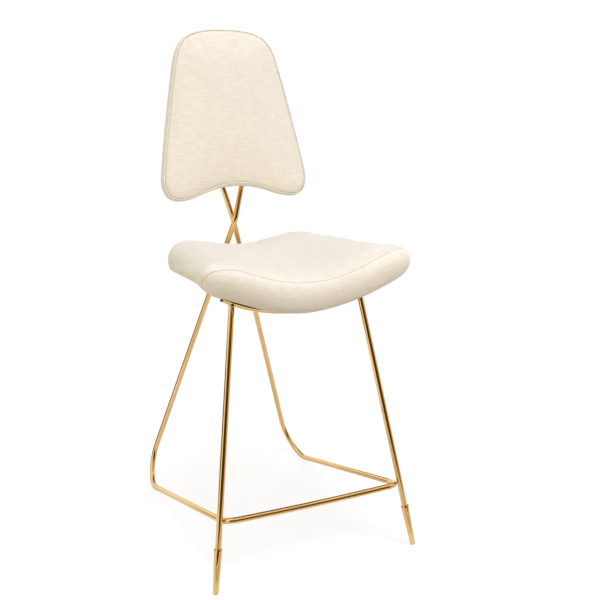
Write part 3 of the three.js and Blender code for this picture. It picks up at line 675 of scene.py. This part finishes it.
def metalwork():
    for side, outer, name in SIDES:
        side_rod(side, outer, name)
        leg(side, name)
        ferrule(side, name)
        bar_cap(side, name)
        weld_bead(name + "_leg_weld", leg_at(side, MEET - 7.2 * MM), leg_direction(side),
                  ROD - 0.2 * MM, 1.1 * MM, 3 + side)
        joint = arm_point(side, outer, FOOTREST["arm"] + CLEAR / 2)
        onward = arm_point(side, outer, 0.1) - joint
        weld_bead(name + "_arm_weld", joint, onward.normalized(), ROD - 0.35 * MM, 0.5 * MM, 7 + side)
        dress_node(name + "_seat_tab", BRASS, 0.5 * MM)
    bar = [bar_at(x) for x in np.linspace(-BAR["half"], BAR["half"], 61)]
    finish(sweep("front_crossbar_bent", bar), BRASS, "brass", "front_crossbar")
    footrest()
    dress_node("rear_crossbar", BRASS)
    dress_node("rear_seat_bracket", BRASS, 0.5 * MM)

    head = -SEAT_GAP - PLATE - CLEAR
    tab_y = BAR_Y - SEAT_FRONT_Y + TAB["behind_bar"]
    number = 1
    for side in (-1, 1):
        on_tab = underside_frame(side * TAB["x"], tab_y)
        for y in TAB["screws"]:
            hex_screw(f"seat_screw_{number}", on_tab @ Matrix.Translation((0, y, 0)), head)
            number += 1
    on_bracket = underside_frame(0, SEAT_PLAN["length"] - BRACKET["from_rear"])
    for side in (-1, 1):
        place = on_bracket @ Matrix.Translation((side * BRACKET["screw_x"], 0, 0))
        hex_screw(f"seat_screw_{number}", place, head)
        number += 1
    number = 1
    for side, outer, _name in SIDES:
        for up in BACK_SCREWS:
            place = BACK_FRAME @ Matrix.Rotation(math.pi / 2, 4, "X")
            place.translation = rod_on_back(side, outer, up)
            hex_screw(f"back_screw_{number}", place, 1 * MM - ROD - CLEAR)
            number += 1
    for i in range(1, 7):
        dress_node(f"seat_nut_{i}", STEEL)
    for i in range(1, 5):
        dress_node(f"back_nut_{i}", STEEL)
    dress_node("seat_pan", PLYWOOD)
    dress_node("back_board", PLYWOOD)


metalwork()


# ------------------------------------------------------------------ upholstery

# How each pad is shaped: its plan, how deep its edge's roundness reaches in, how square the
# edge is (2 is an ellipse), and where a spot on the plan lies in the room.
def back_edge(x, y):
    """The edge's roundness: broad all round, and broadest over the arch at the bottom."""
    arch = np.exp(-(((y - BACK_PLAN["notch"]) / 0.03) ** 2) - (x / 0.10) ** 2)
    return (21 + 19 * arch) * MM


SEAT_FORM = (SEAT_PLAN, seat_half, 2.2, seat_point)
BACK_FORM = (BACK_PLAN, back_edge, 1.9, back_point)


def pad_mesh(name, form, crown, hollow, grow, tuck=None, columns=160):
    """A pad's skin. The crown swells its face, the hollow lifts its underside, and the plan
    grows by a little."""
    plan, edge, rounding, place = form
    points, out = plan_outline(plan, columns)
    points = points + out * grow
    middle = plan["length"] / 2
    depth = edge(points[:, 0], points[:, 1])[:, None]
    rings = []
    face = points - out * depth

    def face_ring(share, side, lift):
        spot = (face - (0, middle)) * share + (0, middle)
        return place(spot[:, 0], spot[:, 1], side, lift)

    for share in np.linspace(0.06, 0.94, 16):
        rings.append(face_ring(share, -1, hollow))
    for angle in np.radians(np.linspace(-90, 90, 31)):
        inset = depth * (1 - math.cos(angle) ** (2 / rounding))
        spot = points - out * inset
        side = math.copysign(abs(math.sin(angle)) ** (2 / rounding), angle)
        lift = 0
        if tuck and side < 0:
            lift = -side * tuck(points[:, 1]) * np.clip(1 - inset[:, 0] / (40 * MM), 0, 1)
        rings.append(place(spot[:, 0], spot[:, 1], side, lift))
    for share in np.linspace(0.97, 0.03, 24):
        rings.append(face_ring(share, 1, crown * (1 - share ** 2)))
    return loft(name, rings)


def evaluated(obj):
    """The object's mesh as its modifiers leave it, with the modifiers dropped."""
    graph = bpy.context.evaluated_depsgraph_get()
    mesh = bpy.data.meshes.new_from_object(obj.evaluated_get(graph))
    obj.modifiers.clear()
    obj.data = mesh
    return obj


def coordinates(mesh):
    co = np.empty(len(mesh.vertices) * 3)
    mesh.vertices.foreach_get("co", co)
    return co.reshape(-1, 3)


def puff(obj, voxel, held, cap, rounds=3, pressure=4.0, frames=20):
    """Cloth under pressure over the pad: held points stay, the rest swells by up to cap."""
    shell = obj.modifiers.new("remesh", "REMESH")
    shell.mode, shell.voxel_size = "VOXEL", voxel
    evaluated(obj)
    rest = coordinates(obj.data)
    pins = obj.vertex_groups.new(name="held")
    for i, amount in enumerate(held(rest)):
        if amount > 0:
            pins.add([i], float(amount), "REPLACE")
    cloth = obj.modifiers.new("cloth", "CLOTH")
    cloth.settings.vertex_group_mass = "held"
    cloth.settings.quality = 5
    cloth.settings.mass = 0.3
    cloth.settings.tension_stiffness = 15
    cloth.settings.compression_stiffness = 15
    cloth.settings.shear_stiffness = 5
    cloth.settings.bending_stiffness = 0.5
    cloth.settings.use_pressure = True
    cloth.settings.uniform_pressure_force = pressure
    cloth.settings.effector_weights.gravity = 0
    cloth.point_cache.frame_start = 1
    cloth.point_cache.frame_end = frames
    for step in range(1, frames + 1):
        bpy.context.scene.frame_set(step)
    evaluated(obj)
    bpy.context.scene.frame_set(1)
    move = coordinates(obj.data) - rest
    reach = np.linalg.norm(move, axis=1)[:, None]
    settled = rest + move * np.minimum(1, cap / np.maximum(reach, 1e-9))
    obj.data.vertices.foreach_set("co", settled.ravel())
    smooth(obj, rounds)
    finer = obj.modifiers.new("finer", "SUBSURF")
    finer.levels = finer.render_levels = 1
    evaluated(obj)
    shade_smooth(obj.data)
    return obj


def smooth(obj, rounds, factor=0.5):
    work = bmesh.new()
    work.from_mesh(obj.data)
    for _ in range(rounds):
        bmesh.ops.smooth_vert(work, verts=work.verts, factor=factor,
                              use_axis_x=True, use_axis_y=True, use_axis_z=True)
    work.to_mesh(obj.data)
    work.free()


def nearness(points):
    tree = KDTree(len(points))
    for i, point in enumerate(points):
        tree.insert(point, i)
    tree.balance()
    return tree


def sink_seam(obj, line, depth, width, roll, refine=2):
    """Refines the mesh along a sewn line, pulls it in there, and marks it for the fabric."""
    tree = nearness(line)
    work = bmesh.new()
    work.from_mesh(obj.data)
    reach = 3.2 * width
    for step in range(refine):
        near = {v for v in work.verts if tree.find(v.co)[2] < reach * (1.6 - 0.5 * step)}
        edges = [e for e in work.edges if e.verts[0] in near and e.verts[1] in near]
        bmesh.ops.subdivide_edges(work, edges=edges, cuts=1, use_grid_fill=True, smooth=0.0)
    work.normal_update()
    marks = work.verts.layers.float.new("seam")
    moves = []
    for vertex in work.verts:
        distance = tree.find(vertex.co)[2]
        dip = depth * math.exp(-((distance / width) ** 2))
        dip += 0.45 * depth * math.exp(-((distance / roll) ** 2))
        moves.append(vertex.normal * -dip)
        vertex[marks] = math.exp(-((distance / (0.5 * width)) ** 2))
    for vertex, move in zip(work.verts, moves):
        vertex.co += move
    work.to_mesh(obj.data)
    work.free()
    shade_smooth(obj.data)


def on_surface(obj, line):
    tree = BVHTree.FromObject(obj, bpy.context.evaluated_depsgraph_get())
    found = [tree.find_nearest(Vector(p)) for p in line]
    return [hit[0] for hit in found], [hit[1] for hit in found]


def dense(points, spacing):
    """Points at even spacing along a polyline."""
    points = np.array([tuple(p) for p in points])
    reach = run_along(points)
    at = np.linspace(0, reach[-1], max(2, int(reach[-1] / spacing)))
    return [Vector(p) for p in np.stack([np.interp(at, reach, points[:, k]) for k in range(3)], 1)]


def edge_point(form, spot, out, angle):
    """The point on a pad's round edge at an angle above its middle."""
    _plan, edge, rounding, place = form
    depth = edge(spot[0], spot[1])
    inset = depth * (1 - math.cos(angle) ** (2 / rounding))
    side = math.copysign(abs(math.sin(angle)) ** (2 / rounding), angle)
    at = spot - out * inset
    return Vector(place(np.array(at[0]), np.array(at[1]), side, 0.0))


STITCH = 0.8 * MM  # the spacing of points along a sewn line
SEWN_REACH = 4 * MM  # how far from a sewn line the cover is held down
PIPING = dict(radius=1.7 * MM, proud=0.5 * MM)

# The seat: a top panel that wraps over the sides and a front panel let in between the lobes.
# The seam's height on the round edge, as an angle, by the distance along the edge from the
# middle of the front: it swings up over the lobes and turns down over the corners.
SEAM_LEFT = ((0, 50), (0.05, 51), (0.13, 54), (0.163, 56), (0.186, 49), (0.208, 39), (0.227, 24),
             (0.240, 2), (0.252, -28), (0.262, -58))
SEAM_RIGHT = ((0, 50), (0.05, 48.5), (0.101, 54), (0.142, 63), (0.18, 68), (0.222, 63),
              (0.246, 44), (0.266, 8), (0.280, -28), (0.290, -58))


def seat_seam():
    points, out = plan_outline(SEAT_PLAN, 720)
    reach = run_along(points)

    def half(knots, mirror):
        at, angles = zip(*knots)
        line = []
        for i in range(np.searchsorted(reach, at[-1])):
            near = np.interp(reach[i] + np.linspace(-0.01, 0.01, 9), at, angles).mean()
            spot = edge_point(SEAT_FORM, points[i], out[i], math.radians(near))
            line.append(Vector((mirror * spot.x, spot.y, spot.z)))
        return line

    return dense(list(reversed(half(SEAM_LEFT, -1)))[:-1] + half(SEAM_RIGHT, 1), STITCH)


def fuller_lobe(obj):
    """The padding stands a little higher towards the +X lobe, as hand-stuffed seats do."""
    points = coordinates(obj.data)
    x, y = points[:, 0], points[:, 1] - SEAT_FRONT_Y
    above = np.clip((points[:, 2] - seat_middle(x, y)) / seat_half(x, y), 0, 1)
    toward = np.clip((x - 0.02) / 0.14, 0, 1)
    points[:, 2] += 2.2 * MM * above * toward ** 2 * (3 - 2 * toward)
    obj.data.vertices.foreach_set("co", points.ravel())
    obj.data.update()


def seat_cushion():
    obj = pad_mesh("seat_upholstery", SEAT_FORM, crown=8 * MM, hollow=4 * MM, grow=1.5 * MM,
                   tuck=seat_tuck)
    seam = seat_seam()
    tree = nearness(seam)

    def held(points):
        y = points[:, 1] - SEAT_FRONT_Y
        beside = np.clip((np.abs(points[:, 0]) - 0.16) / 0.04, 0, 1)
        low = points[:, 2] < underside(points[:, 0], y) + 7 * MM + 0.8 * seat_tuck(y) * beside
        sewn = np.array([tree.find(Vector(p))[2] < SEWN_REACH for p in points])
        return low * 1.0 + (sewn & ~low) * 0.8

    puff(obj, 5 * MM, held, 5 * MM)
    fuller_lobe(obj)
    line, _normals = on_surface(obj, seam)
    sink_seam(obj, dense(line, STITCH), depth=0.9 * MM, width=1.5 * MM, roll=7 * MM)
    return finish(obj, SEAT_LINEN, "cream_fabric", "seat_cushion", cushion=0.9)


BACK_WELT_ANGLE = math.radians(37)  # where the piping runs on the back's round edge
BACK_REAR_ANGLE = math.radians(-64)  # where the cover turns in behind the rear panel
BACK_SHIFT = -2.4 * MM  # the back's cover sits a touch to the -X side on its board


def edge_line(form, angle, count=720):
    points, out = plan_outline(form[0], count)
    line = [edge_point(form, points[i], out[i], angle) for i in range(count)]
    return line + line[:1]


def back_cushion():
    obj = pad_mesh("back_upholstery", BACK_FORM, crown=7 * MM, hollow=3 * MM, grow=-1.2 * MM)
    front = dense(edge_line(BACK_FORM, BACK_WELT_ANGLE), STITCH)
    rear = dense(edge_line(BACK_FORM, BACK_REAR_ANGLE), STITCH)
    tree = nearness(front + rear)
    inverse = np.array(BACK_FRAME.inverted())

    def held(points):
        rearward = points @ inverse[1, :3] + inverse[1, 3]
        low = rearward > BACK_HALF - 4 * MM
        sewn = np.array([tree.find(Vector(p))[2] < SEWN_REACH for p in points])
        return low * 1.0 + (sewn & ~low) * 1.0

    puff(obj, 4.5 * MM, held, 5 * MM, rounds=8)
    obj.data.transform(Matrix.Translation((BACK_SHIFT, 0, 0)))
    front = [p + Vector((BACK_SHIFT, 0, 0)) for p in front]
    line, normals = on_surface(obj, dense(front, 2 * MM)[:-1])
    sink_seam(obj, dense(line + line[:1], STITCH), depth=1.1 * MM, width=2.2 * MM, roll=6 * MM,
              refine=1)
    welt = [p + n * PIPING["proud"] for p, n in zip(line, normals)]
    piping = sweep("back_piping", welt, PIPING["radius"], sides=12, closed=True)
    finish(piping, BACK_LINEN, "cream_fabric")
    return finish(obj, BACK_LINEN, "cream_fabric", "back_cushion", cushion=0.9)


def shrunk(plan, inset, count):
    points, _out = plan_outline(plan, count)
    middle = plan["length"] / 2
    scale = np.array((1 - inset / plan["half"], 1 - 2 * inset / plan["length"]))
    return (points - (0, middle)) * scale + (0, middle)


def panel(name, plan, inset, low, high, rim, material, slot, node, columns=200):
    """A thin upholstered panel between two surfaces, with a soft edge."""
    points = shrunk(plan, inset, columns)
    middle = plan["length"] / 2
    rings = []

    def ring(share, surface, lift=0.0, pull=0.0):
        spot = (points - (0, middle)) * (share - pull) + (0, middle)
        return surface(spot[:, 0], spot[:, 1], lift)

    for share in np.linspace(0.05, 0.985, 22):
        rings.append(ring(share, low))
    for angle in np.radians(np.linspace(90, 0, 7))[1:]:
        rings.append(ring(1, low, -rim * (1 - math.sin(angle)), 0.008 * (1 - math.cos(angle))))
    rings.append(ring(1, high))
    for share in (0.9, 0.5, 0.1):
        rings.append(ring(share, high))
    obj = loft(name, rings, sharp=math.radians(60))
    return finish(obj, material, slot, node)


REAR_INSET = 22 * MM
REAR_DEPTH = 5.5 * MM


def rear_panel():
    def outer(x, up, lift):
        return back_point(x + BACK_SHIFT, up, -1, -lift)

    def inner(x, up, lift):
        return back_point(x + BACK_SHIFT, up, -(BACK_HALF - REAR_DEPTH) / BACK_HALF, lift)

    cover = panel("back_rear_cover", BACK_PLAN, REAR_INSET, outer, inner, 1.6 * MM, BACK_LINEN,
                  "cream_fabric", "back_rear_panel")


CLOTH_INSET = 46 * MM
CLOTH_HEM = 12 * MM
CLOTH_DROP = 0.4 * MM  # how far the cloth hangs below the seat's underside
STAPLE = dict(inset=5 * MM, spacing=27 * MM, radius=0.4 * MM)


def dust_cover():
    """Black cloth stretched over the seat's underside, its edge softly rounded; the staples come from
    staples().
    """
    def lower(x, y, lift):
        return np.stack([x, SEAT_FRONT_Y + y, underside(x, y) - CLOTH_DROP - lift], -1)

    def upper(x, y, lift):
        return np.stack([x, SEAT_FRONT_Y + y, underside(x, y) + 1 * MM], -1)

    cloth = panel("seat_dust_cloth", SEAT_PLAN, CLOTH_INSET, lower, upper, 0.3 * MM, CAMBRIC,
                  "dark_fabric", "seat_dust_cover")
    edge = shrunk(SEAT_PLAN, CLOTH_INSET - CLOTH_HEM, 400)


def staples():
    """Wire staples along the dust cloth's hem, except where metal plates lie over it."""
    line = shrunk(SEAT_PLAN, CLOTH_INSET + STAPLE["inset"], 400)
    reach = run_along(line)
    count = round(reach[-1] / STAPLE["spacing"])
    verts, faces = [], []
    for at in np.linspace(0, reach[-1], count, endpoint=False):
        i = min(int(np.searchsorted(reach, at)), len(line) - 2)
        x, y = line[i]
        under_bar = abs(y + SEAT_FRONT_Y - BAR_Y) < 14 * MM
        under_plate = y > SEAT_PLAN["length"] / 2 and abs(x) < 48 * MM
        if under_bar or under_plate:
            continue
        along = (line[i + 1] - line[i]) / np.linalg.norm(line[i + 1] - line[i])
        path = []
        for step, sunk in ((-4.4, 1.2), (-4.4, 0.3), (-4.1, 0), (4.1, 0), (4.4, 0.3), (4.4, 1.2)):
            dx, dy = along * step * MM
            path.append(Vector((x + dx, SEAT_FRONT_Y + y + dy,
                                float(underside(x + dx, y + dy)) - CLOTH_DROP
                                - (0.1 - sunk) * MM)))
        wire = sweep("staple", path, STAPLE["radius"], sides=10, rounding=0.1 * MM)
        base = len(verts)
        verts += [v.co.copy() for v in wire.data.vertices]
        faces += [[base + k for k in face.vertices] for face in wire.data.polygons]
        mesh = wire.data
        bpy.data.objects.remove(wire)
        bpy.data.meshes.remove(mesh)
    finish(new_object("dust_cloth_staples", verts, faces), STEEL, "steel")


seat_cushion()
back_cushion()
rear_panel()
dust_cover()
staples()


# ------------------------------------------------------------------ studio

# The room that polished metal mirrors: white all round, with dark openings. A wide one lies in
# front of the stool, a low one behind it on the -X side, a high one behind it on the +X side, and
# a dim wall at +X. Each has an azimuth in degrees, half its width, how dark it is, and the heights
# between which it fades in and out again.
OPENINGS = (
    (-94, 48, 1.0, (-0.40, -0.20), (0.30, 0.88)),
    (148, 25, 1.0, (-0.32, -0.20), (0.06, 0.18)),
    (52, 36, 0.9, (0.24, 0.38), (0.80, 0.94)),
    (-12, 34, 0.3, (-0.60, -0.30), (0.20, 0.60)),
)
ROOM_DARK = (0.085, 0.036, 0.006, 1)
ROOM_AMBER = (0.45, 0.29, 0.12, 1)
ROOM_WHITE = (1.0, 0.98, 0.94, 1)
FLOOR_RADIUS = 0.72
FLOOR_WHITE, FLOOR_MATT = 0.76, 0.30
FLOOR_MIRRORED, FLOOR_MIRRORED_GLOW = 0.55, 0.31
FLOOR_TONE = (0.80, 0.76, 0.70, 1)
SKY_LIGHT = 0.71
SKY_LOW, SKY_HIGH = (0.45, 0.29, 0.16, 1), (0.60, 0.60, 0.61, 1)
LAMPS = (
    ("top", (0.0, -0.45, 4.6), (1.3, 1.1), 78, (0.81, 0.83, 1.0)),
    ("key", (1.6, -2.5, 2.05), (1.7, 1.7), 57.5, (1.0, 0.98, 0.91)),
    ("fill", (-2.7, -0.7, 0.8), (1.6, 1.4), 29, (1.0, 1.0, 0.79)),
    ("behind", (0.8, 2.7, 1.0), (1.6, 1.4), 15, (1.0, 0.99, 0.93)),
)
LAMPS_AIM = (0, 0, 0.6)
CAMERA = dict(lens=51.90, x=-0.7459, before_feet=-1.4845, height=0.9964, down=13.73, turn=25.24)


def studio_world():
    world = bpy.data.worlds.new("studio_world")
    bpy.context.scene.world = world
    world.use_nodes = True
    world.node_tree.nodes.clear()
    n = Nodes(world.node_tree)
    x, y, z = n.add("ShaderNodeSeparateXYZ", {
        0: n.add("ShaderNodeTexCoord").outputs["Generated"]}).outputs
    level = n.math("MAXIMUM", n.math("SQRT", n.math("ADD", n.math("MULTIPLY", x, x),
                                                    n.math("MULTIPLY", y, y))), 1e-4)
    dark = 0.0
    for azimuth, half, depth, rise, fall in OPENINGS:
        a = math.radians(azimuth)
        along = n.math("ADD", n.math("MULTIPLY", x, math.cos(a)), n.math("MULTIPLY", y, math.sin(a)))
        across = n.ramp(n.math("DIVIDE", along, level),
                        math.cos(math.radians(half + 7)), math.cos(math.radians(half - 7)))
        above = n.ramp(z, rise[0], rise[1])
        below = n.ramp(z, fall[1], fall[0])
        zone = n.math("MULTIPLY", n.math("MULTIPLY", across, depth),
                      n.math("MULTIPLY", above, below))
        dark = n.math("MAXIMUM", dark, zone)
    room = n.mix(n.ramp(dark, 0, 0.5), ROOM_WHITE, ROOM_AMBER)
    room = n.mix(n.ramp(dark, 0.5, 1), room, ROOM_DARK)
    sky = n.mix(n.ramp(z, -1, 1), SKY_LOW, SKY_HIGH)

    rays = n.add("ShaderNodeLightPath")
    mirror = n.math("MAXIMUM", rays.outputs["Is Glossy Ray"], rays.outputs["Is Transmission Ray"])
    unlit = n.mix(rays.outputs["Is Camera Ray"], room, (1, 1, 1, 1))
    seen = n.math("MAXIMUM", rays.outputs["Is Camera Ray"], mirror)
    light = n.add("ShaderNodeBackground", {"Color": sky, "Strength": SKY_LIGHT})
    shown = n.add("ShaderNodeBackground", {"Color": unlit, "Strength": 1.0})
    both = n.add("ShaderNodeMixShader", {0: seen, 1: light, 2: shown})
    out = n.add("ShaderNodeOutputWorld")
    n.set(out.inputs["Surface"], both)


def studio_floor():
    """A round pale floor; the camera sees it near white, with the stool's faint shadow."""
    edge = [(FLOOR_RADIUS * math.cos(a), FLOOR_RADIUS * math.sin(a), 0)
            for a in np.linspace(0, 2 * math.pi, 96, endpoint=False)]
    floor = new_object("studio_floor", edge, [tuple(range(len(edge)))])
    n = new_material("floor_paint")
    n.tree.nodes.remove(n.shader)
    rays = n.add("ShaderNodeLightPath").outputs
    mirror = n.math("MAXIMUM", rays["Is Glossy Ray"], rays["Is Transmission Ray"])
    seen = n.math("MAXIMUM", rays["Is Camera Ray"], mirror)
    matt = n.add("ShaderNodeBsdfDiffuse", {"Color": FLOOR_TONE})
    faint = n.add("ShaderNodeBsdfDiffuse", {"Color": [FLOOR_MATT] * 3 + [1]})
    glow = n.add("ShaderNodeEmission", {"Color": (1, 1, 1, 1), "Strength": FLOOR_WHITE})
    shaded = n.add("ShaderNodeAddShader", {0: faint, 1: glow})
    plain = n.add("ShaderNodeEmission", {"Color": (1, 1, 1, 1), "Strength": 1.0})
    place = n.place()
    reach = n.add("ShaderNodeVectorMath", {0: place}, operation="LENGTH").outputs["Value"]
    rim = n.ramp(reach, 0.45 * FLOOR_RADIUS, FLOOR_RADIUS)
    white = n.add("ShaderNodeMixShader", {0: rim, 1: shaded, 2: plain})
    # in the brass the floor darkens to amber in a band in front of the feet: painted shade on the
    # floor, seen only in mirror rays
    ahead = n.math("MULTIPLY", n.add("ShaderNodeSeparateXYZ", {0: place}).outputs["Y"], -1)
    dim = n.math("MULTIPLY", n.ramp(ahead, 0.33, 0.43), n.ramp(ahead, 0.64, 0.52, 0, 0.6))
    tint = n.mix(dim, ROOM_WHITE, ROOM_AMBER)
    mirrored = n.add("ShaderNodeAddShader", {
        0: n.add("ShaderNodeBsdfDiffuse", {"Color": n.mix(FLOOR_MIRRORED, (0, 0, 0, 1), tint)}),
        1: n.add("ShaderNodeEmission", {"Color": tint, "Strength": FLOOR_MIRRORED_GLOW})})
    white = n.add("ShaderNodeMixShader", {0: mirror, 1: white, 2: mirrored})
    both = n.add("ShaderNodeMixShader", {0: seen, 1: matt, 2: white})
    n.set(n.tree.nodes["Material Output"].inputs["Surface"], both)
    floor.data.materials.append(n.material)


def studio():
    bpy.context.scene.view_settings.view_transform = "Standard"
    studio_world()
    studio_floor()
    for name, at, size, watts, colour in LAMPS:
        data = bpy.data.lights.new(name, "AREA")
        data.shape, data.size, data.size_y = "RECTANGLE", size[0], size[1]
        data.energy, data.color = watts, colour
        lamp = into_scene(name, data)
        lamp.location = at
        toward = Vector(LAMPS_AIM) - lamp.location
        lamp.rotation_euler = toward.to_track_quat("-Z", "Y").to_euler()
        lamp.visible_glossy = False


def camera():
    """It stands in front on the -X side and looks a little down at the stool."""
    lens = bpy.data.cameras.new("camera")
    lens.lens, lens.sensor_width, lens.sensor_fit = CAMERA["lens"], 36.0, "HORIZONTAL"
    eye = into_scene("camera", lens)
    eye.location = (CAMERA["x"], CAMERA["before_feet"] + FEET_Y, CAMERA["height"])
    eye.rotation_euler = (math.radians(90 - CAMERA["down"]), 0, -math.radians(CAMERA["turn"]))
    bpy.context.scene.camera = eye


studio()
camera()
